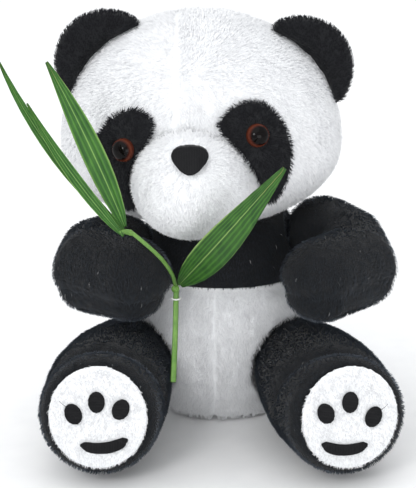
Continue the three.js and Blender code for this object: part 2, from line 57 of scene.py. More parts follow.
def make_camera():
    data = bpy.data.cameras.new("camera")
    data.lens = LENS
    data.sensor_width = 36
    data.sensor_fit = "HORIZONTAL"
    data.clip_end = 20
    camera = bpy.data.objects.new("camera", data)
    back = Vector((0, -math.cos(VIEW_ELEVATION), math.sin(VIEW_ELEVATION)))
    camera.location = AIM + back * VIEW_DISTANCE
    camera.rotation_euler = (math.pi / 2 - VIEW_ELEVATION, 0, 0)
    scene.collection.objects.link(camera)
    scene.camera = camera


def make_area(name, place, size, power):
    data = bpy.data.lights.new(name, "AREA")
    data.energy = power
    data.shape = "SQUARE"
    data.size = size
    light = bpy.data.objects.new(name, data)
    light.location = place
    light.rotation_euler = (AIM - Vector(place)).to_track_quat("-Z", "Y").to_euler()
    scene.collection.objects.link(light)


def make_studio():
    make_area("key", (-0.5, -1.2, 0.75), 0.36, 5.5)
    make_area("fill", (0.6, -1.4, 0.12), 0.9, 7.0)
    make_area("back", (0.3, 1.2, 1.1), 0.9, 4.5)
    sun = bpy.data.lights.new("sky_light", "SUN")
    sun.energy = 0.8
    sun.angle = math.radians(70)
    lamp = bpy.data.objects.new("sky_light", sun)
    lamp.rotation_euler = (math.radians(22), math.radians(-14), 0)
    scene.collection.objects.link(lamp)
    world = bpy.data.worlds.new("studio")
    world.use_nodes = True
    background = world.node_tree.nodes["Background"]
    background.inputs["Color"].default_value = (0.96, 0.98, 1.0, 1)
    background.inputs["Strength"].default_value = 0.84
    scene.world = world
    scene.view_settings.view_transform = "Standard"


# ---------------------------------------------------------------- materials
class Shader:
    """A material with one Principled shader, and short calls for the nodes behind its colour and bump."""

    def __init__(self, name, roughness=0.8, sheen=0.0, sheen_roughness=0.5, sheen_tint=(1, 1, 1), coat=0.0,
                 specular=0.5):
        self.material = bpy.data.materials.new(name)
        self.material.use_nodes = True
        self.nodes = self.material.node_tree.nodes
        self.links = self.material.node_tree.links
        self.main = self.nodes["Principled BSDF"]
        self.set("Roughness", roughness)
        self.set("Sheen Weight", sheen)
        self.set("Sheen Roughness", sheen_roughness)
        self.set("Sheen Tint", (*sheen_tint, 1))
        self.set("Coat Weight", coat)
        self.set("Coat Roughness", 0.04)
        self.set("Specular IOR Level", specular)

    def set(self, socket, value):
        self.main.inputs[socket].default_value = value

    def link(self, output, socket):
        self.links.new(output, self.main.inputs[socket])

    def coordinates(self, stretch=(1, 1, 1)):
        place = self.nodes.new("ShaderNodeTexCoord")
        mapping = self.nodes.new("ShaderNodeMapping")
        mapping.inputs["Scale"].default_value = stretch
        self.links.new(place.outputs["Object"], mapping.inputs["Vector"])
        return mapping.outputs["Vector"]

    def noise(self, size, detail=3.0, stretch=(1, 1, 1), roughness=0.55):
        """Noise whose blobs are about size metres across."""
        node = self.nodes.new("ShaderNodeTexNoise")
        node.inputs["Scale"].default_value = 1 / size
        node.inputs["Detail"].default_value = detail
        node.inputs["Roughness"].default_value = roughness
        self.links.new(self.coordinates(stretch), node.inputs["Vector"])
        return node.outputs["Fac"]

    def wave(self, pitch, direction, distortion=0.0):
        node = self.nodes.new("ShaderNodeTexWave")
        node.bands_direction = direction
        node.inputs["Scale"].default_value = 0.314 / pitch
        node.inputs["Distortion"].default_value = distortion
        self.links.new(self.coordinates(), node.inputs["Vector"])
        return node.outputs["Fac"]

    def ramp(self, value, stops):
        node = self.nodes.new("ShaderNodeValToRGB")
        elements = node.color_ramp.elements
        elements[0].position, elements[0].color = stops[0][0], (*stops[0][1], 1)
        elements[1].position, elements[1].color = stops[-1][0], (*stops[-1][1], 1)
        for position, colour in stops[1:-1]:
            elements.new(position).color = (*colour, 1)
        self.links.new(value, node.inputs["Fac"])
        return node.outputs["Color"]

    def mix(self, a, b, share, blend="MIX"):
        node = self.nodes.new("ShaderNodeMix")
        node.data_type = "RGBA"
        node.blend_type = blend
        if isinstance(share, float):
            node.inputs[0].default_value = share
        else:
            self.links.new(share, node.inputs[0])
        self.links.new(a, node.inputs[6])
        self.links.new(b, node.inputs[7])
        return node.outputs[2]

    def uv(self, name):
        """The u and v of a named UV map, as two values."""
        node = self.nodes.new("ShaderNodeUVMap")
        node.uv_map = name
        split = self.nodes.new("ShaderNodeSeparateXYZ")
        self.links.new(node.outputs["UV"], split.inputs["Vector"])
        return split.outputs["X"], split.outputs["Y"]

    def bump(self, height, depth, strength=1.0):
        node = self.nodes.new("ShaderNodeBump")
        node.inputs["Strength"].default_value = strength
        node.inputs["Distance"].default_value = depth
        self.links.new(height, node.inputs["Height"])
        self.link(node.outputs["Normal"], "Normal")


def scaled(colour, factor):
    return tuple(c * factor for c in colour)


def plush_material(name, deep, light, sheen):
    """The knitted ground and the pile roots between the standing hairs, coloured darker than the hair tips as
    painted shade deep in the pile.
    """
    s = Shader(name, roughness=0.95, sheen=sheen, sheen_roughness=0.6, specular=0.15)
    fine = s.noise(0.9 * MM, 4)
    broad = s.noise(14 * MM, 2)
    tone = s.ramp(fine, [(0.3, deep), (0.7, light)])
    cloud = s.ramp(broad, [(0.3, scaled(light, 0.9)), (0.7, light)])
    s.link(s.mix(tone, cloud, 0.45), "Base Color")
    s.bump(fine, 0.7 * MM, 0.8)
    return s.material


def pile_material(name, root, middle, tip, sheen, sheen_tint, stray=None):
    """Single hairs: darker at the root as painted shade between the hairs and lighter at the tip as painted
    sheen, each one a little different, with broad soft clouds over them.
    """
    s = Shader(name, roughness=0.85, sheen=sheen, sheen_roughness=0.45, sheen_tint=sheen_tint, specular=0.2)
    own, along = s.uv("Strand")
    # painted shade at the root rising to painted sheen at the tip
    root_shade_tip_sheen = s.ramp(along, [(0.0, root), (0.5, middle), (1.0, tip)])
    vary = s.ramp(own, [(0.0, (0.84, 0.84, 0.85)), (0.5, (0.95, 0.95, 0.95)), (1.0, (1, 1, 1))])
    colour = s.mix(root_shade_tip_sheen, vary, 1.0, "MULTIPLY")
    cloud = s.ramp(s.noise(16 * MM, 2), [(0.3, (0.92, 0.92, 0.925)), (0.7, (1, 1, 1))])
    colour = s.mix(colour, cloud, 1.0, "MULTIPLY")
    if stray:
        picked = s.ramp(own, [(0.0, (0, 0, 0)), (0.9985, (0, 0, 0)), (0.999, (1, 1, 1))])
        lint = s.ramp(along, [(0.0, scaled(stray, 0.6)), (1.0, stray)])
        colour = s.mix(colour, lint, picked)
    s.link(colour, "Base Color")
    return s.material


def satin_material(name, deep, light, pitch, direction):
    """Satin stitch: glossy thread laid side by side."""
    s = Shader(name, roughness=0.5, sheen=0.04, sheen_roughness=0.35, specular=0.12)
    rows = s.wave(pitch, direction, 0.6)
    twist = s.noise(0.35 * MM, 2, (1, 1, 5) if direction == "X" else (5, 1, 1))
    tone = s.ramp(rows, [(0.1, deep), (0.8, light)])
    fleck = s.ramp(twist, [(0.3, scaled(deep, 1.2)), (0.7, scaled(light, 1.25))])
    s.link(s.mix(tone, fleck, 0.4), "Base Color")
    s.bump(rows, 0.12 * MM, 0.7)
    return s.material


def woven_material(name, deep, light, pitch):
    s = Shader(name, roughness=0.85, sheen=0.15, specular=0.2)
    warp = s.wave(pitch, "X")
    weft = s.wave(pitch, "Y")
    grid = s.mix(s.ramp(warp, [(0.2, deep), (0.8, light)]), s.ramp(weft, [(0.2, deep), (0.8, light)]), 0.5)
    s.link(s.mix(grid, s.ramp(s.noise(9 * MM), [(0.3, scaled(deep, 0.9)), (0.7, light)]), 0.3), "Base Color")
    s.bump(warp, 0.1 * MM, 0.6)
    return s.material


def leaf_material(name, deep, mid, pale, ribs):
    """Moulded leaf: long parallel ribs, both edges lightened as a painted highlight, a pale midrib, and
    streaks along it.
    """
    s = Shader(name, roughness=0.5, coat=0.06, specular=0.25)
    along, across = s.uv("Blade")
    rib = s.nodes.new("ShaderNodeMath")
    rib.operation = "MULTIPLY"
    rib.inputs[1].default_value = ribs * math.pi
    s.links.new(across, rib.inputs[0])
    wave = s.nodes.new("ShaderNodeMath")
    wave.operation = "SINE"
    s.links.new(rib.outputs[0], wave.inputs[0])
    streak = s.ramp(wave.outputs[0], [(0.0, deep), (0.75, mid)])
    worn = s.ramp(s.noise(5 * MM, 3, (1, 1, 0.35)), [(0.35, deep), (0.7, mid)])
    colour = s.mix(streak, worn, 0.4)
    # mask of the painted edge highlight along both edges, and of the paler midrib down the middle
    edge = s.ramp(across, [(0.0, (1, 1, 1)), (0.07, (0, 0, 0)), (0.47, (0, 0, 0)), (0.5, (0.8, 0.8, 0.8)),
                           (0.53, (0, 0, 0)), (0.93, (0, 0, 0)), (1.0, (1, 1, 1))])
    light = s.ramp(along, [(0.0, scaled(pale, 1.1)), (0.8, pale), (1.0, (0.42, 0.36, 0.12))])
    s.link(s.mix(colour, light, edge), "Base Color")
    s.bump(wave.outputs[0], 0.15 * MM, 0.5)
    return s.material


def stem_material(name):
    s = Shader(name, roughness=0.5, coat=0.1, specular=0.4)
    streak = s.ramp(s.noise(1.6 * MM, 3, (1, 1, 0.15)),
                    [(0.3, (0.06, 0.16, 0.025)), (0.7, (0.14, 0.29, 0.05))])
    pale = s.ramp(s.noise(12 * MM, 2), [(0.4, (0.1, 0.22, 0.04)), (0.7, (0.2, 0.36, 0.08))])
    s.link(s.mix(streak, pale, 0.35), "Base Color")
    s.bump(s.noise(0.8 * MM, 3, (1, 1, 0.2)), 0.15 * MM, 0.6)
    return s.material


def eye_material(name):
    """Polished eye: near-black pupil inside a red-brown rim that thins to amber."""
    s = Shader(name, roughness=0.1, coat=0.16, specular=0.03)
    angle, radius = s.uv("Eye")
    ring = s.ramp(radius, [(0.0, (0.004, 0.003, 0.003)), (0.72, (0.004, 0.003, 0.003)),
                           (0.8, (0.035, 0.008, 0.005)), (0.92, (0.12, 0.03, 0.016)),
                           (1.0, (0.06, 0.016, 0.01))])
    grain = s.ramp(s.noise(1.2 * MM, 3), [(0.3, (0.75, 0.72, 0.7)), (0.7, (1, 1, 1))])
    s.link(s.mix(ring, grain, 1.0, "MULTIPLY"), "Base Color")
    return s.material


def plastic_material(name, deep, light):
    s = Shader(name, roughness=0.4, specular=0.5)
    s.link(s.ramp(s.noise(2 * MM, 3), [(0.3, deep), (0.7, light)]), "Base Color")
    s.bump(s.noise(0.5 * MM, 2), 0.05 * MM, 0.4)
    return s.material


def floor_material():
    s = Shader("pale_floor", roughness=0.9, specular=0.1)
    s.link(s.ramp(s.noise(0.02, 3), [(0.3, (0.90, 0.90, 0.905)), (0.7, (0.93, 0.93, 0.93))]), "Base Color")
    return s.material


# the grounds are darker than the pile tips above them: painted shade deep in the pile
WHITE_GROUND = plush_material("white_ground", (0.76, 0.77, 0.79), (0.88, 0.89, 0.9), 0.2)
BLACK_GROUND = plush_material("black_ground", (0.003, 0.003, 0.004), (0.012, 0.013, 0.015), 0.1)
# each pile's first colour is its root, darkened as painted shade between the hairs, and its last is its tip,
# lightened as painted sheen
WHITE_PILE = pile_material("white_pile", (0.84, 0.85, 0.865), (0.93, 0.935, 0.945),
                           (0.97, 0.972, 0.98), 0.25, (1, 1, 1))
WHITE_SHORT = pile_material("white_short_pile", (0.72, 0.73, 0.74), (0.8, 0.805, 0.815),
                            (0.85, 0.855, 0.865), 0.1, (1, 1, 1))
BLACK_PILE = pile_material("black_pile", (0.005, 0.006, 0.008), (0.013, 0.015, 0.018),
                           (0.024, 0.028, 0.034), 0.3, (0.75, 0.85, 1.0), stray=(0.4, 0.4, 0.4))
PATCH_PILE = pile_material("patch_pile", (0.002, 0.002, 0.003), (0.006, 0.006, 0.008),
                           (0.013, 0.014, 0.017), 0.1, (0.8, 0.85, 1.0))


# ---------------------------------------------------------------- mesh helpers
def link_mesh(name, mesh, material):
    piece = bpy.data.objects.new(name, mesh)
    scene.collection.objects.link(piece)
    mesh.materials.clear()
    mesh.materials.append(material)
    return piece


def read_points(mesh):
    points = np.zeros(len(mesh.vertices) * 3)
    mesh.vertices.foreach_get("co", points)
    return points.reshape(-1, 3)


def read_normals(mesh):
    normals = np.zeros(len(mesh.vertices) * 3)
    mesh.vertex_normals.foreach_get("vector", normals)
    return normals.reshape(-1, 3)


def write_points(mesh, points):
    mesh.vertices.foreach_set("co", np.ascontiguousarray(points, dtype=np.float64).ravel())
    mesh.update()


def applied(piece, kind, **settings):
    """The piece's mesh with one modifier applied."""
    modifier = piece.modifiers.new(kind, kind)
    for key, value in settings.items():
        setattr(modifier, key, value)
    graph = bpy.context.evaluated_depsgraph_get()
    mesh = bpy.data.meshes.new_from_object(piece.evaluated_get(graph))
    piece.modifiers.remove(modifier)
    old = piece.data
    piece.data = mesh
    bpy.data.meshes.remove(old)
    return mesh


def keep_largest(mesh):
    """Only the largest connected body stays, and so nothing hides inside it."""
    work = bmesh.new()
    work.from_mesh(mesh)
    work.verts.ensure_lookup_table()
    seen = set()
    bodies = []
    for start in work.verts:
        if start in seen:
            continue
        body = []
        stack = [start]
        seen.add(start)
        while stack:
            vert = stack.pop()
            body.append(vert)
            for edge in vert.link_edges:
                other = edge.other_vert(vert)
                if other not in seen:
                    seen.add(other)
                    stack.append(other)
        bodies.append(body)
    largest = max(bodies, key=len)
    for body in bodies:
        if body is not largest:
            bmesh.ops.delete(work, geom=body, context="VERTS")
    work.to_mesh(mesh)
    work.free()


def joined_nodes(name, nodes):
    work = bmesh.new()
    for node in nodes:
        work.from_mesh(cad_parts[node].data)
    bmesh.ops.remove_doubles(work, verts=work.verts, dist=1e-6)
    mesh = bpy.data.meshes.new(name)
    work.to_mesh(mesh)
    work.free()
    return mesh


def solid_from(name, nodes, voxel, smooth, inset, material):
    """One closed form through the given CAD nodes, set inside their surface by inset."""
    piece = link_mesh(name, joined_nodes(name, nodes), material)
    applied(piece, "REMESH", mode="VOXEL", voxel_size=voxel)
    keep_largest(piece.data)
    if smooth:
        applied(piece, "SMOOTH", factor=0.5, iterations=smooth)
    mesh = piece.data
    write_points(mesh, read_points(mesh) - read_normals(mesh) * inset)
    mesh.materials.clear()
    mesh.materials.append(material)
    return piece


def smooth_shaded(mesh):
    mesh.polygons.foreach_set("use_smooth", [True] * len(mesh.polygons))


# ---------------------------------------------------------------- stuffing: swell the covers
SIM_FRAMES = 20
SIM_PRESSURE = 4.0


def inflate(pieces):
    """Swells every (piece, most) cover with cloth pressure, in one run, and keeps each point within most."""
    starts = {}
    for piece, most in pieces:
        starts[piece.name] = read_points(piece.data)
        modifier = piece.modifiers.new("swell", "CLOTH")
        modifier.settings.use_pressure = True
        modifier.settings.uniform_pressure_force = SIM_PRESSURE
        modifier.settings.effector_weights.gravity = 0
        modifier.settings.quality = 3
        modifier.settings.mass = 0.3
    for number in range(1, SIM_FRAMES + 1):
        scene.frame_set(number)
    graph = bpy.context.evaluated_depsgraph_get()
    ends = {piece.name: read_points(piece.evaluated_get(graph).data) for piece, most in pieces}
    for piece, most in pieces:
        start = starts[piece.name]
        move = ends[piece.name] - start
        far = np.linalg.norm(move, axis=1, keepdims=True)
        move *= np.minimum(1, most / np.maximum(far, 1e-9))
        piece.modifiers.remove(piece.modifiers["swell"])
        write_points(piece.data, start + move)
    scene.frame_set(1)


def refine(piece, material, smooth=2):
    """One subdivision after the swelling."""
    if smooth:
        applied(piece, "SMOOTH", factor=0.5, iterations=smooth)
    applied(piece, "SUBSURF", levels=1, render_levels=1)
    piece.data.materials.clear()
    piece.data.materials.append(material)
    smooth_shaded(piece.data)


# ---------------------------------------------------------------- pile
def soft_noise(points, size, seed):
    """Smooth noise between about -1 and 1 over points, with waves about size metres long."""
    rng = np.random.default_rng(seed)
    total = np.zeros(len(points))
    for _ in range(7):
        way = rng.normal(size=3)
        way /= np.linalg.norm(way)
        pace = 2 * math.pi / (size * rng.uniform(0.7, 1.5))
        total += np.sin(points @ way * pace + rng.uniform(0, 2 * math.pi))
    return total / 3.2


def unit(rows):
    return rows / np.maximum(np.linalg.norm(rows, axis=1, keepdims=True), 1e-12)


def tree_of(piece):
    mesh = piece.data
    return BVHTree.FromPolygons([v.co.copy() for v in mesh.vertices],
                                 [tuple(p.vertices) for p in mesh.polygons])


RAY = Vector((0.137, -0.291, 0.947)).normalized()
NEAR = 12 * MM


def crossings(tree, point):
    """How many times a ray from point passes through the form's surface."""
    count = 0
    while count < 24:
        place, normal, index, distance = tree.ray_cast(point, RAY)
        if place is None:
            break
        count += 1
        point = place + RAY * 1e-5
    return count


def inside(tree, points, margin=0.0):
    """True where a point lies inside the closed form, or within margin of it."""
    out = np.zeros(len(points), bool)
    for i, point in enumerate(points):
        point = Vector(point)
        place, normal, index, distance = tree.find_nearest(point, NEAR)
        if place is None:
            continue
        if distance < margin:
            out[i] = True
        elif (point - place).dot(normal) < 0:
            out[i] = crossings(tree, point) % 2 == 1
    return out


def add_pile(name, base, body, material, length, density, width, flow, avoid=(), keep=None,
             lean=(48, 70), seed=1, unrest=1.0):
    """Short hairs over base, each a bent tapering blade of real length, lying along flow.

    length and width in metres, density in hairs a square millimetre, flow a function of points and normals.
    avoid lists (tree, margin): no hair starts or ends within those forms."""
    rng = np.random.default_rng(seed)
    mesh = base.data
    mesh.calc_loop_triangles()
    points = read_points(mesh)
    normals = read_normals(mesh)
    corners = np.zeros(len(mesh.loop_triangles) * 3, np.int32)
    mesh.loop_triangles.foreach_get("vertices", corners)
    corners = corners.reshape(-1, 3)
    a, b, c = (points[corners[:, k]] for k in range(3))
    areas = np.linalg.norm(np.cross(b - a, c - a), axis=1) / 2
    count = int(areas.sum() / MM**2 * density)
    picks = rng.choice(len(areas), size=count, p=areas / areas.sum())
    r1, r2 = np.sqrt(rng.random(count)), rng.random(count)
    shares = np.stack([1 - r1, r1 * (1 - r2), r1 * r2], axis=1)[:, :, None]
    tri = corners[picks]
    root = (points[tri] * shares).sum(1)
    normal = unit((normals[tri] * shares).sum(1))
    if keep is not None:
        kept = keep(root, normal)
        root, normal = root[kept], normal[kept]
    for tree, margin in avoid:
        kept = ~inside(tree, root + normal * 1.0 * MM, margin)
        root, normal = root[kept], normal[kept]
    count = len(root)
    way = flow(root, normal)
    way = unit(way - normal * (way * normal).sum(1, keepdims=True))
    side = np.cross(normal, way)
    turn = soft_noise(root, 22 * MM, seed) * 0.35 + soft_noise(root, 5 * MM, seed + 1) * 0.3
    turn = (turn + rng.normal(0, 0.28, count)) * unrest
    way = way * np.cos(turn)[:, None] + side * np.sin(turn)[:, None]
    side = np.cross(normal, way)
    tuft = soft_noise(root, 4.2 * MM, seed + 2)
    low = np.radians(lean[0] + (7 * tuft + rng.normal(0, 7, count)) * unrest)[:, None]
    high = np.radians(lean[1] + (8 * tuft + rng.normal(0, 9, count)) * unrest)[:, None]
    reach = (length * (1 + 0.1 * tuft) * rng.uniform(0.75, 1.12, count))[:, None]
    first = normal * np.cos(low) + way * np.sin(low)
    second = normal * np.cos(high) + way * np.sin(high)
    start = root - normal * 0.35 * MM
    middle = start + first * reach * 0.55
    tip = middle + second * reach * 0.45
    for tree, margin in avoid:
        kept = ~inside(tree, tip, margin)
        start, middle, tip = start[kept], middle[kept], tip[kept]
        side, normal = side[kept], normal[kept]
    count = len(start)
    half = (width / 2 * rng.uniform(0.8, 1.2, count))[:, None]
    verts = np.stack([start - side * half, start + side * half, middle + side * half * 0.85,
                      middle - side * half * 0.85, tip], axis=1)
    order = np.array([1, 0, 3, 2, 2, 3, 4])
    loops = (np.arange(count)[:, None] * 5 + order).ravel()
    starts = (np.arange(count)[:, None] * 7 + np.array([0, 4])).ravel()
    pile = bpy.data.meshes.new(name)
    pile.vertices.add(count * 5)
    pile.vertices.foreach_set("co", verts.ravel())
    pile.loops.add(len(loops))
    pile.loops.foreach_set("vertex_index", loops.astype(np.int32))
    pile.polygons.add(count * 2)
    pile.polygons.foreach_set("loop_start", starts.astype(np.int32))
    pile.update(calc_edges=True)
    own = np.repeat(rng.random(count), 7)
    along = np.tile(np.array([0, 0, 0.55, 0.55, 0.55, 0.55, 1.0]), count)
    strand = np.stack([own, along], axis=1).ravel().astype(np.float32)
    for layer_name in ("Strand", "OFBake"):
        layer = pile.uv_layers.new(name=layer_name)
        layer.data.foreach_set("uv", strand)
    smooth_shaded(pile)
    shading = np.repeat(normal[:, None, :], 5, axis=1).reshape(-1, 3)
    pile.normals_split_custom_set_from_vertices(shading.tolist())
    piece = link_mesh(name, pile, material)
    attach(piece, body)
    return piece


def towards(direction):
    direction = np.array(direction, float)
    return lambda points, normals: np.tile(direction, (len(points), 1))


def away_from(centre, also=(0, 0, 0)):
    centre, also = np.array(centre, float), np.array(also, float)
    return lambda points, normals: unit(points - centre) + also


# ---------------------------------------------------------------- places taken from the frame
def corners_of(node):
    low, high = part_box(node)
    return np.array(low), np.array(high)


head_low, head_high = corners_of("head_skin")
head_centre = (head_low + head_high) / 2
muzzle_low, muzzle_high = corners_of("muzzle_skin")
nose_low, nose_high = corners_of("nose")
nose_centre = (nose_low + nose_high) / 2
yoke_height = corners_of("belly_skin")[1][2]
SEAM_X = -4 * MM  # the belly's centre seam lies a little to its right
FOREHEAD_SEAM_X = head_centre[0] - 14 * MM
SIDES = ("left", "right")


def groove(piece, depth, width, offset, where):
    """Pulls a seam into the form.

    offset gives each point's distance to the seam, and where gives its share of the full depth."""
    points, normals = read_points(piece.data), read_normals(piece.data)
    pull = depth * np.exp(-((offset(points) / width) ** 2)) * where(points)
    write_points(piece.data, points - normals * pull[:, None])


def step(values, low, high):
    t = np.clip((values - low) / (high - low), 0, 1)
    return t * t * (3 - 2 * t)


make_camera()
make_studio()

# ---------------------------------------------------------------- stuffed forms
INSET = 1.5 * MM  # the form starts this much inside its CAD solid, and the pressure fills it out again
SWELL = 2.2 * MM
THIN_INSET = 0.4 * MM  # ears and tail
THIN_SWELL = 1.0 * MM
BASE_CLEARANCE = 0.2 * MM
THIN_FILL = 0.5
PATCH_FILL = 0.4
PILE = 4.4 * MM

FORMS = {
    "head_cover": (["head_skin", "head_stuffing"], "head", "white_plush", WHITE_GROUND, 2.8),
    "muzzle_cover": (["muzzle_skin", "muzzle_stuffing"], "head", "white_plush", WHITE_GROUND, 2.2),
    "torso": (["belly_skin", "chest_skin", "body_stuffing", "base_panel"], "root", "white_plush",
              WHITE_GROUND, 2.6),
    "tail_cover": (["tail"], "root", None, None, 1.6),
}
for side in SIDES:
    FORMS[f"arm_{side}_cover"] = ([f"arm_skin_{side}", f"arm_stuffing_{side}"], f"arm_{side}", "black_plush",
                                  BLACK_GROUND, 2.2)
    FORMS[f"leg_{side}_cover"] = ([f"leg_skin_{side}", f"leg_stuffing_{side}"], f"leg_{side}", "black_plush",
                                  BLACK_GROUND, 2.4)
    FORMS[f"ear_{side}_cover"] = ([f"ear_{side}"], f"ear_{side}", "black_plush", BLACK_GROUND, 1.4)

pieces = {}
for name, (nodes, body, slot, ground, voxel) in FORMS.items():
    inset = THIN_INSET if name.startswith(("ear", "tail")) else INSET
    pieces[name] = solid_from(name, nodes, voxel * MM, 3, inset, ground or WHITE_GROUND)
inflate([(piece, THIN_SWELL if name.startswith(("ear", "tail")) else SWELL)
         for name, piece in pieces.items()])
for name, piece in pieces.items():
    refine(piece, FORMS[name][3] or WHITE_GROUND)


# seams drawn in by their stitches, and the hollow in each ear
head, muzzle, torso = pieces["head_cover"], pieces["muzzle_cover"], pieces["torso"]
groove(head, 0.6 * MM, 2.0 * MM, lambda p: p[:, 0] - FOREHEAD_SEAM_X,
       lambda p: step(p[:, 2], nose_centre[2], nose_centre[2] + 30 * MM) * step(-p[:, 1], -0.02, 0.0))
groove(torso, 1.0 * MM, 1.8 * MM, lambda p: p[:, 0] - SEAM_X,
       lambda p: step(-p[:, 1], -0.01, 0.01) * step(yoke_height - p[:, 2], 0, 6 * MM))
groove(torso, 1.8 * MM, 3.0 * MM, lambda p: p[:, 2] - yoke_height, lambda p: np.ones(len(p)))
for side in SIDES:
    ear = pieces[f"ear_{side}_cover"]
    low, high = corners_of(f"ear_{side}")
    centre = (low + high) / 2
    groove(ear, 2.4 * MM, 15 * MM, lambda p: np.hypot(p[:, 0] - centre[0], p[:, 2] - centre[2]),
           lambda p: step(centre[1] - p[:, 1], 0, 3 * MM))


# each ear's root is drawn down to the head, from up to EAR_REACH away, until EAR_REST is left
EAR_REACH = 6 * MM
EAR_REST = 1.0 * MM
head_tree = tree_of(head)
for side in SIDES:
    ear = pieces[f"ear_{side}_cover"]
    points = read_points(ear.data)
    for i, point in enumerate(points):
        place, normal, index, distance = head_tree.find_nearest(Vector(point), EAR_REACH)
        if place is not None:
            share = float(step(EAR_REACH - distance, 0, EAR_REACH * 0.55))
            points[i] += (np.array(place) - point) / distance * max(distance - EAR_REST, 0) * share
    write_points(ear.data, points)

# a soft crease under each paw's middle, and another where the foot meets the leg
for side in SIDES:
    arm, leg = pieces[f"arm_{side}_cover"], pieces[f"leg_{side}_cover"]
    low, high = corners_of(f"arm_skin_{side}")
    crease = low[2] + (high[2] - low[2]) * 0.34
    front = low[1] + (high[1] - low[1]) * 0.45
    groove(arm, 2.6 * MM, 5.5 * MM, lambda p: p[:, 2] - crease, lambda p: step(front - p[:, 1], 0, 25 * MM))
    low, high = corners_of(f"leg_skin_{side}")
    ankle = low[1] + 33 * MM
    middle = (low[2] + high[2]) / 2
    groove(leg, 3.0 * MM, 6.0 * MM, lambda p: p[:, 1] - ankle + (p[:, 2] - middle) * 0.12,
           lambda p: step(p[:, 2], middle - 20 * MM, high[2]))


def cut_above(piece, name, height, above):
    """A copy of piece with only what lies above (or below) height, closed across the cut."""
    work = bmesh.new()
    work.from_mesh(piece.data)
    geometry = work.verts[:] + work.edges[:] + work.faces[:]
    result = bmesh.ops.bisect_plane(work, geom=geometry, plane_co=(0, 0, height), plane_no=(0, 0, 1),
                                    clear_inner=above, clear_outer=not above)
    rim = [e for e in result["geom_cut"] if isinstance(e, bmesh.types.BMEdge)]
    bmesh.ops.holes_fill(work, edges=rim, sides=0)
    mesh = bpy.data.meshes.new(name)
    work.to_mesh(mesh)
    work.free()
    return link_mesh(name, mesh, WHITE_GROUND)


belly = cut_above(torso, "belly_cover", yoke_height - 0.15 * MM, False)
chest = cut_above(torso, "chest_cover", yoke_height + 0.15 * MM, True)
chest.data.materials.clear()
chest.data.materials.append(BLACK_GROUND)
bpy.data.objects.remove(torso)
del pieces["torso"]
base_top = corners_of("base_panel")[1][2]
belly_points = read_points(belly.data)
belly_points[:, 2] = np.maximum(belly_points[:, 2], base_top + BASE_CLEARANCE)
write_points(belly.data, belly_points)

pieces["belly_cover"], pieces["chest_cover"] = belly, chest
stands_for = {
    "head_cover": ("head_skin", "head_stuffing"), "muzzle_cover": ("muzzle_skin", "muzzle_stuffing"),
    "belly_cover": ("belly_skin", "body_stuffing"), "chest_cover": ("chest_skin",), "tail_cover": ("tail",),
}
body_of = {"head_cover": "head", "muzzle_cover": "head", "belly_cover": "root", "chest_cover": "root",
           "tail_cover": "root"}
for side in SIDES:
    for limb in ("arm", "leg"):
        stands_for[f"{limb}_{side}_cover"] = (f"{limb}_skin_{side}", f"{limb}_stuffing_{side}")
        body_of[f"{limb}_{side}_cover"] = f"{limb}_{side}"
    stands_for[f"ear_{side}_cover"] = (f"ear_{side}",)
    body_of[f"ear_{side}_cover"] = f"ear_{side}"
for name, piece in pieces.items():
    smooth_shaded(piece.data)
    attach(piece, body_of[name])
    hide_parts(*stands_for[name])

# ---------------------------------------------------------------- soles and eye patches
trees = {name: tree_of(piece) for name, piece in pieces.items()}


def thin_cover(name, node, body, voxel, material, inset=0.3):
    """A flat padded piece, made from its CAD solid without the pressure."""
    piece = solid_from(name, [node], voxel * MM, 2, inset * MM, material)
    smooth_shaded(piece.data)
    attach(piece, body)
    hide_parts(node)
    return piece


THIN_VOXEL = 0.9
for side in SIDES:
    for node, body, material, slot, fill in (
            (f"sole_{side}", f"leg_{side}", WHITE_GROUND, "white_plush", THIN_FILL),
            (f"eye_patch_{side}", "head", BLACK_GROUND, "black_plush", PATCH_FILL)):
        name = f"{node}_cover"
        pieces[name] = thin_cover(name, node, body, THIN_VOXEL, material)
        trees[name] = tree_of(pieces[name])

# ---------------------------------------------------------------- stitched pads and nose
SATIN_DEEP, SATIN_LIGHT = (0.002, 0.002, 0.003), (0.011, 0.011, 0.012)
THREAD_PITCH = 0.9 * MM
SATIN = satin_material("satin_black", SATIN_DEEP, SATIN_LIGHT, THREAD_PITCH, "X")
SATIN_ROWS = satin_material("satin_rows", SATIN_DEEP, SATIN_LIGHT, THREAD_PITCH, "Z")


def stitched(name, node, body, along, material, voxel=0.5):
    """A satin-stitched patch: threads laid side by side, with a raised rim, as real ridges."""
    piece = solid_from(name, [node], voxel * MM, 2, 0, material)
    mesh = piece.data
    points, normals = read_points(mesh), read_normals(mesh)
    low, high = points.min(0), points.max(0)
    centre, half = (low + high) / 2, (high - low) / 2
    across = points[:, 0] if along == "Z" else points[:, 2]
    rim = np.clip(np.hypot((points[:, 0] - centre[0]) / half[0], (points[:, 2] - centre[2]) / half[2]), 0, 1)
    facing = np.clip(-normals[:, 1] + 0.2 * normals[:, 2], 0, 1)
    ridge = 0.2 * MM * np.cos(2 * math.pi * across / THREAD_PITCH + soft_noise(points, 6 * MM, 3))
    crown = 0.45 * MM * (1 - rim**2) + 0.3 * MM * np.exp(-(((rim - 0.86) / 0.1) ** 2))
    write_points(mesh, points + normals * ((ridge + crown) * facing)[:, None])
    smooth_shaded(mesh)
    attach(piece, body)
    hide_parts(node)
    pieces[name] = piece
    trees[name] = tree_of(piece)
    return piece


stitched("nose_stitched", "nose", "head", "Z", SATIN, 0.45)
pads = {side: [] for side in SIDES}
for side in SIDES:
    for number in (1, 2, 3):
        node = f"toe_pad_{side}_{number}"
        pads[side].append(stitched(f"{node}_stitched", node, f"leg_{side}", "X", SATIN_ROWS, 0.4))
    node = f"heel_pad_{side}"
    pads[side].append(stitched(f"{node}_stitched", node, f"leg_{side}", "Z", SATIN, 0.4))


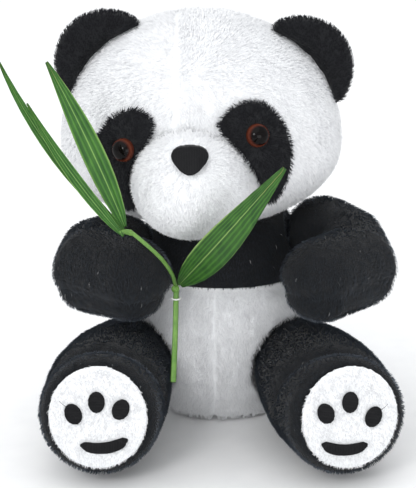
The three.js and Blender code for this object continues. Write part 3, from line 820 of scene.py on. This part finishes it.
def skin_rings(work, rings):
    """Faces along a run of rings of points, closed at both ends."""
    steps = len(rings[0])
    for low_ring, high_ring in zip(rings, rings[1:]):
        for k in range(steps):
            n = (k + 1) % steps
            work.faces.new((low_ring[k], low_ring[n], high_ring[n], high_ring[k])).smooth = True
    work.faces.new(rings[0])
    work.faces.new(rings[-1])
    bmesh.ops.recalc_face_normals(work, faces=work.faces)


def thread_end(piece, start, way, length, radius=0.17 * MM):
    """A cut end of embroidery thread left standing at the edge of a stitched pad, part of that pad."""
    work = bmesh.new()
    work.from_mesh(piece.data)
    start, way = Vector(start), Vector(way).normalized()
    side_way = way.orthogonal().normalized()
    other = way.cross(side_way)
    rings = []
    for i in range(9):
        t = i / 8
        place = start + way * length * t + Vector((0, -1, 0)) * length * 0.16 * math.sin(t * 2.6)
        size = radius * (1 - 0.5 * t)
        rings.append([work.verts.new(place + side_way * size * math.cos(a) + other * size * math.sin(a))
                      for a in (0, 1.26, 2.51, 3.77, 5.03)])
    skin_rings(work, rings)
    work.to_mesh(piece.data)
    work.free()


for side, number, sign in (("left", 3, 1), ("right", 1, -1)):
    low, high = corners_of(f"toe_pad_{side}_{number}")
    start = ((low[0] + high[0]) / 2 + sign * (high[0] - low[0]) * 0.3, low[1] + 0.5 * MM, high[2] - 2 * MM)
    thread_end(pieces[f"toe_pad_{side}_{number}_stitched"], start, (sign * 0.7, -0.12, 0.72), 6.5 * MM)

# ---------------------------------------------------------------- eyes
EYE_GLOSS = eye_material("eye_gloss")


def eye_axis(node):
    """Foot of the dome, outward axis and radius of an eye's CAD solid, found from its own points."""
    points = read_points(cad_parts[node].data)
    centre = points.mean(0)
    values, vectors = np.linalg.eigh(np.cov((points - centre).T))
    spread = [abs(values[i] - values[(i + 1) % 3]) + abs(values[i] - values[(i + 2) % 3]) for i in range(3)]
    axis = vectors[:, int(np.argmax(spread))]
    if axis[1] > 0:
        axis = -axis
    along = (points - centre) @ axis
    off = np.linalg.norm((points - centre) - along[:, None] * axis, axis=1)
    widest = off.max()
    foot = along[off > widest * 0.97].min()
    return centre + axis * foot, axis, widest, along.max() - foot


def lathe(name, profile, place, axis, material, layer_name, steps=56):
    """Turns (radius, height) pairs round axis; the map's v is the share of the largest radius."""
    axis = Vector(axis)
    side = axis.orthogonal().normalized()
    other = axis.cross(side)
    widest = max(ring_radius for ring_radius, _ in profile)
    work = bmesh.new()
    layer = work.loops.layers.uv.new(layer_name)
    rings = []
    for radius, height in profile:
        ring = []
        for k in range(steps):
            angle = 2 * math.pi * k / steps
            out = side * math.cos(angle) + other * math.sin(angle)
            ring.append(work.verts.new(Vector(place) + axis * height + out * max(radius, 1e-5)))
        rings.append(ring)
    for i in range(len(rings) - 1):
        for k in range(steps):
            n = (k + 1) % steps
            face = work.faces.new((rings[i][k], rings[i][n], rings[i + 1][n], rings[i + 1][k]))
            face.smooth = True
            for loop, (row, step_) in zip(face.loops, ((i, k), (i, k + 1), (i + 1, k + 1), (i + 1, k))):
                loop[layer].uv = (step_ / steps, profile[row][0] / widest)
    for ring in (rings[0], rings[-1]):
        work.faces.new(ring)
    bmesh.ops.recalc_face_normals(work, faces=work.faces)
    mesh = bpy.data.meshes.new(name)
    work.to_mesh(mesh)
    work.free()
    return link_mesh(name, mesh, material)


for side in SIDES:
    place, axis, radius, height = eye_axis(f"eye_{side}")
    profile = [(radius * 0.45, -1.5 * MM), (radius * 0.96, -0.3 * MM), (radius, 0.1 * MM), (radius, 0.5 * MM)]
    rows = 12
    for i in range(rows + 1):
        angle = math.pi / 2 * i / rows
        profile.append((radius * 0.985 * math.cos(angle), 0.7 * MM + (height - 0.7 * MM) * math.sin(angle)))
    eye = lathe(f"eye_{side}_polished", profile, place, axis, EYE_GLOSS, "Eye")
    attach(eye, "head")
    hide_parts(f"eye_{side}")
    pieces[eye.name] = eye
    trees[eye.name] = tree_of(eye)

# ---------------------------------------------------------------- sprig
# each leaf's third colour is the painted edge highlight, also used for its paler midrib
LEAF_DEEP = leaf_material("leaf_deep", (0.014, 0.06, 0.01), (0.05, 0.15, 0.02), (0.24, 0.36, 0.11), 17)
LEAF_SLIM = leaf_material("leaf_slim", (0.018, 0.075, 0.012), (0.06, 0.18, 0.025), (0.22, 0.36, 0.1), 9)
STEM = stem_material("stem_green")


def blade(name, node, material, ribs):
    """The CAD leaf made fine: parallel ribs and a midrib, from its own shape."""
    piece = link_mesh(name, joined_nodes(name, [node]), material)
    applied(piece, "SUBSURF", levels=3, render_levels=3, subdivision_type="SIMPLE")
    mesh = piece.data
    points, normals = read_points(mesh), read_normals(mesh)
    centre = points.mean(0)
    vectors = np.linalg.svd(points[::7] - centre, full_matrices=False)[2]
    main, wide = vectors[0], vectors[1]
    if main[2] < 0:
        main = -main
    s, w = (points - centre) @ main, (points - centre) @ wide
    t = (s - s.min()) / (s.max() - s.min())
    bins = np.clip((t * 40).astype(int), 0, 39)
    low = np.array([w[bins == k].min() if (bins == k).any() else 0 for k in range(40)])
    high = np.array([w[bins == k].max() if (bins == k).any() else 1 for k in range(40)])
    places = (np.arange(40) + 0.5) / 40
    low_w, high_w = np.interp(t, places, low), np.interp(t, places, high)
    share = np.clip((w - low_w) / np.maximum(high_w - low_w, 1e-6), 0, 1)
    height = 0.12 * MM * np.sin(share * ribs * math.pi)
    write_points(mesh, points + normals * height[:, None])
    index = np.zeros(len(mesh.loops), np.int32)
    mesh.loops.foreach_get("vertex_index", index)
    strip = np.stack([t[index], share[index]], axis=1).ravel().astype(np.float32)
    for old in list(mesh.uv_layers):
        mesh.uv_layers.remove(old)
    layer = mesh.uv_layers.new(name="Blade")
    layer.data.foreach_set("uv", strip)
    smooth_shaded(mesh)
    mesh.materials.clear()
    mesh.materials.append(material)
    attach(piece, "sprig")
    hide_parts(node)
    return piece


blade("leaf_broad_ribbed", "leaf_broad", LEAF_DEEP, 17)
for node in ("leaf_tall", "leaf_outer", "leaf_inner"):
    blade(f"{node}_ribbed", node, LEAF_SLIM, 9)


def sheath(name, path, radii, steps=20):
    """A leaf sheath: a tapering sleeve along a path, closed at both ends."""
    work = bmesh.new()
    rings = []
    for i, (place, radius) in enumerate(zip(path, radii)):
        ahead = (path[min(i + 1, len(path) - 1)] - path[max(i - 1, 0)]).normalized()
        if i == 0:
            side_way = ahead.orthogonal().normalized()
        else:
            side_way = (side_way - ahead * side_way.dot(ahead)).normalized()
        other = ahead.cross(side_way)
        ring = []
        for k in range(steps):
            angle = 2 * math.pi * k / steps
            ridge = 1 + 0.05 * math.cos(5 * angle)
            out = side_way * math.cos(angle) + other * math.sin(angle)
            ring.append(work.verts.new(place + out * radius * ridge))
        rings.append(ring)
    skin_rings(work, rings)
    mesh = bpy.data.meshes.new(name)
    work.to_mesh(mesh)
    work.free()
    piece = link_mesh(name, mesh, STEM)
    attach(piece, "sprig")
    return piece


def end_of(node, way):
    """The middle of a node's end that lies furthest along way, and the middle of the piece 6 mm before it."""
    points = read_points(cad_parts[node].data)
    along = points @ np.array(way, float)
    last = points[along > along.max() - 0.6 * MM].mean(0)
    away = np.abs(np.linalg.norm(points - last, axis=1) - 6.5 * MM)
    before = points[np.argsort(away, kind="stable")[:12]].mean(0)
    return Vector(last), Vector(before)


def curve_through(a, b, c, count=9):
    return [a * (1 - t) ** 2 + b * 2 * t * (1 - t) + c * t**2 for t in np.linspace(0, 1, count)]


# each sleeve swells in its middle and thins to nothing much at its tip, as shares of the stalk's radius
SWELL_OUT = [0.8, 1.0, 1.15, 1.25, 1.25, 1.2, 1.05, 0.9, 0.6]
twig_end, twig_before = end_of("sprig_twig", (-0.8, 0, 0.6))
leaf_feet = [end_of(node, (0.4, 0, -1))[0] for node in ("leaf_tall", "leaf_outer", "leaf_inner")]
leaf_foot = sum(leaf_feet, Vector()) / 3
TWIG_RADIUS = 1.25 * MM
sheath("twig_sheath", curve_through(twig_end.lerp(twig_before, 0.5), twig_end,
                                    leaf_foot.lerp(twig_end, -0.9)),
       [TWIG_RADIUS * share for share in SWELL_OUT])
stem_top, stem_before = end_of("sprig_stem", (0, 0, 1))
twig_foot, twig_after = end_of("sprig_twig", (0.3, 0, -1))
STEM_RADIUS = 1.9 * MM
sheath("stem_sheath", curve_through(stem_top.lerp(stem_before, 0.25), stem_top.lerp(twig_foot, 0.5),
                                    twig_foot.lerp(twig_after, 0.3)),
       [STEM_RADIUS * share for share in SWELL_OUT])
for node in ("sprig_stem", "sprig_twig"):
    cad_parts[node].data.materials.clear()
    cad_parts[node].data.materials.append(STEM)
    smooth_shaded(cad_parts[node].data)

# ---------------------------------------------------------------- CAD nodes that stay in view
carried = {
    "base_panel": woven_material("base_weave", (0.5, 0.5, 0.5), (0.8, 0.8, 0.8), 0.8 * MM),
    "care_label": woven_material("label_tape", (0.6, 0.6, 0.59), (0.9, 0.9, 0.88), 0.5 * MM),
    "tie_thread": woven_material("tie_cotton", (0.55, 0.55, 0.53), (0.9, 0.9, 0.88), 0.4 * MM),
    "eye_washer_left": plastic_material("washer_left", (0.6, 0.6, 0.57), (0.8, 0.8, 0.76)),
    "eye_washer_right": plastic_material("washer_right", (0.6, 0.6, 0.57), (0.8, 0.8, 0.76)),
}
for node, material in carried.items():
    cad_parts[node].data.materials.clear()
    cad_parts[node].data.materials.append(material)

# ---------------------------------------------------------------- pile over every plush piece
DENSITY = 0.85  # hairs a square millimetre
HAIR = 0.42 * MM
BLACK_LENGTH = 3.8 * MM
EAR_LENGTH = 3.4 * MM
SOLE_LENGTH = 2.0 * MM
SOLE_DENSITY = 1.3
CALM = 0.6  # share of the usual unrest in brushed pile


def avoid(*names, margin=0.25 * MM):
    return [(trees[name], margin) for name in names]


def parted(seam_x, high_z):
    """Keeps hairs off the seam line itself."""
    return lambda p, n: ~((np.abs(p[:, 0] - seam_x) < 0.35 * MM) & (p[:, 1] < 0) & (p[:, 2] > high_z))


def off_seam(points, seam_x, width):
    """Sideways away from a seam on the front, fading over width."""
    away = np.zeros_like(points)
    away[:, 0] = np.sign(points[:, 0] - seam_x) * np.exp(-(((points[:, 0] - seam_x) / width) ** 2))
    away[:, 0] *= points[:, 1] < 0
    return away


def head_flow(points, normals):
    middle = np.array([muzzle_low[0] * 0.5 + muzzle_high[0] * 0.5, muzzle_high[1], nose_centre[2]])
    out = unit(points - middle)
    return out * 0.7 + np.array([0, 0.25, -0.8]) + off_seam(points, FOREHEAD_SEAM_X, 6 * MM) * 0.6


def belly_flow(points, normals):
    return off_seam(points, SEAM_X, 5 * MM) + np.array([0, -0.15, -1.0])


add_pile("head_pile", head, "head", WHITE_PILE, PILE, DENSITY, HAIR, head_flow,
         avoid("muzzle_cover", "eye_patch_left_cover", "eye_patch_right_cover", "ear_left_cover",
               "ear_right_cover", "chest_cover"), parted(FOREHEAD_SEAM_X, nose_centre[2] + 0.02),
         unrest=CALM, seed=11)
add_pile("muzzle_pile", muzzle, "head", WHITE_PILE, PILE * 0.85, DENSITY * 1.1, HAIR,
         away_from(nose_centre, (0, 0, -0.3)), avoid("head_cover", "nose_stitched"), seed=12)
add_pile("belly_pile", belly, "root", WHITE_PILE, PILE, DENSITY, HAIR, belly_flow,
         avoid("leg_left_cover", "leg_right_cover", "arm_left_cover", "arm_right_cover", "tail_cover"),
         lambda p, n: (p[:, 2] > 3 * MM) & parted(SEAM_X, 0)(p, n) & (p[:, 2] < yoke_height - 1.5 * MM),
         seed=13)
add_pile("chest_pile", chest, "root", BLACK_PILE, BLACK_LENGTH, DENSITY, HAIR,
         towards((0, -0.2, -1)), avoid("arm_left_cover", "arm_right_cover", "head_cover"),
         lambda p, n: p[:, 2] > yoke_height + 2.0 * MM, unrest=CALM, seed=14)
add_pile("tail_pile", pieces["tail_cover"], "root", WHITE_PILE, PILE, DENSITY, HAIR,
         towards((0, 0.5, -0.8)), avoid("belly_cover"), seed=15)
for k, side in enumerate(SIDES):
    low, high = corners_of(f"ear_{side}")
    ear_foot = (low + high) / 2 * np.array([1, 1, 0]) + np.array([0, 0, low[2]])
    add_pile(f"ear_{side}_pile", pieces[f"ear_{side}_cover"], f"ear_{side}", PATCH_PILE,
             EAR_LENGTH, DENSITY * 1.2, HAIR, away_from(ear_foot), avoid("head_cover"),
             unrest=CALM, seed=20 + k)
    low, high = corners_of(f"eye_patch_{side}")
    add_pile(f"eye_patch_{side}_pile", pieces[f"eye_patch_{side}_cover"], "head", PATCH_PILE,
             PILE * 0.9, DENSITY * 1.2, HAIR, away_from((low + high) / 2, (0, 0, -0.6)),
             avoid("head_cover", f"eye_{side}_polished", "muzzle_cover"), seed=24 + k)
    add_pile(f"arm_{side}_pile", pieces[f"arm_{side}_cover"], f"arm_{side}", BLACK_PILE,
             BLACK_LENGTH, DENSITY, HAIR, towards((0, -0.7, -0.7)),
             avoid("chest_cover", "belly_cover", f"leg_{side}_cover", "head_cover"),
             unrest=CALM, seed=28 + k)
    add_pile(f"leg_{side}_pile", pieces[f"leg_{side}_cover"], f"leg_{side}", BLACK_PILE,
             BLACK_LENGTH, DENSITY, HAIR, towards((0, -1, -0.1)), avoid("belly_cover", f"sole_{side}_cover"),
             lambda p, n: p[:, 2] > 3 * MM, unrest=CALM, seed=32 + k)
    add_pile(f"sole_{side}_pile", pieces[f"sole_{side}_cover"], f"leg_{side}", WHITE_SHORT,
             SOLE_LENGTH, SOLE_DENSITY, HAIR, towards((0, 0, -1)),
             avoid(f"leg_{side}_cover", *[pad.name for pad in pads[side]], margin=0.1 * MM),
             lambda p, n: n[:, 1] < -0.3, lean=(40, 62), seed=36 + k)

# ---------------------------------------------------------------- floor
FLOOR_DROP = 0.6 * MM
bpy.ops.mesh.primitive_grid_add(x_subdivisions=8, y_subdivisions=8, size=8, location=(0, 0, -FLOOR_DROP))
floor = bpy.context.object
floor.name = "studio_floor"
floor.data.materials.append(floor_material())
